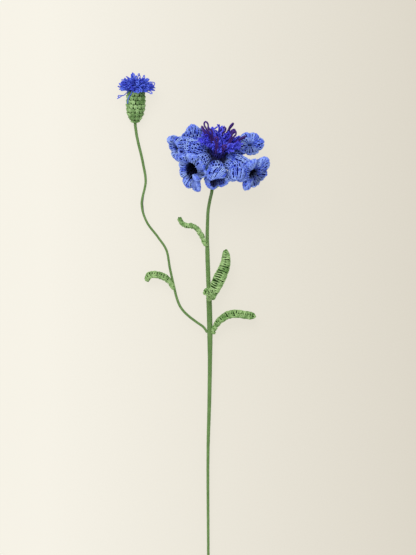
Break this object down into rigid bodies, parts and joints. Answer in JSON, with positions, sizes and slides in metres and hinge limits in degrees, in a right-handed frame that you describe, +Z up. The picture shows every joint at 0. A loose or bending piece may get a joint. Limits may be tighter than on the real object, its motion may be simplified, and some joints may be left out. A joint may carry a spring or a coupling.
{
  "type": "crocheted cornflower",
  "caption": "Crocheted yarn cornflower on a wire stem: open flower with trumpet florets, thread tuft and loop stamens, a bud on a side stem, and crocheted leaves.",
  "frame": {"origin": "on the table, under the middle of the whole piece's box", "axes": "+Z up from the table, +Y along the stem from its cut end to the flower, +X to the right seen from above"},
  "size_m": [0.0992, 0.4013, 0.0501],
  "materials": {
    "stem_yarn": "fine yarn wound closely round wire, matt",
    "leaf_yarn": "crocheted cotton yarn, matt",
    "calyx_yarn": "crocheted cotton yarn, matt",
    "floret_yarn": "crocheted light blue cotton yarn, matt",
    "tuft_yarn": "cut and looped royal blue thread",
    "bud_tuft_thread": "fine looped blue thread",
    "stamen_cord": "dark purple cord folded into loops",
    "stuffing": "loose fibre filling",
    "wire": "bare florist's wire"
  },
  "bodies": {
    "root": {"main_stem_wrap": "stem_yarn", "side_stem_wrap": "stem_yarn", "leaf_upper_left": "leaf_yarn", "leaf_upper_left_wire": "wire", "leaf_upper_right": "leaf_yarn", "leaf_upper_right_wire": "wire", "leaf_front": "leaf_yarn", "leaf_front_wire": "wire", "leaf_lower_right": "leaf_yarn", "leaf_lower_right_wire": "wire", "leaf_side_stem": "leaf_yarn", "leaf_side_stem_wire": "wire", "main_stem_wire": "wire", "side_stem_wire": "wire", "flower_calyx": "calyx_yarn", "bud_calyx": "calyx_yarn", "calyx_stuffing": "stuffing", "bud_stuffing": "stuffing", "flower_core": "tuft_yarn", "centre_tuft": "tuft_yarn", "floret_1": "floret_yarn", "floret_2": "floret_yarn", "floret_3": "floret_yarn", "floret_4": "floret_yarn", "floret_5": "floret_yarn", "floret_6": "floret_yarn", "floret_7": "floret_yarn", "floret_8": "floret_yarn", "stamen_01": "stamen_cord", "stamen_02": "stamen_cord", "stamen_03": "stamen_cord", "stamen_04": "stamen_cord", "stamen_05": "stamen_cord", "stamen_06": "stamen_cord", "stamen_07": "stamen_cord", "stamen_08": "stamen_cord", "stamen_09": "stamen_cord", "stamen_10": "stamen_cord", "bud_tuft": "bud_tuft_thread"}
  },
  "joints": []
}
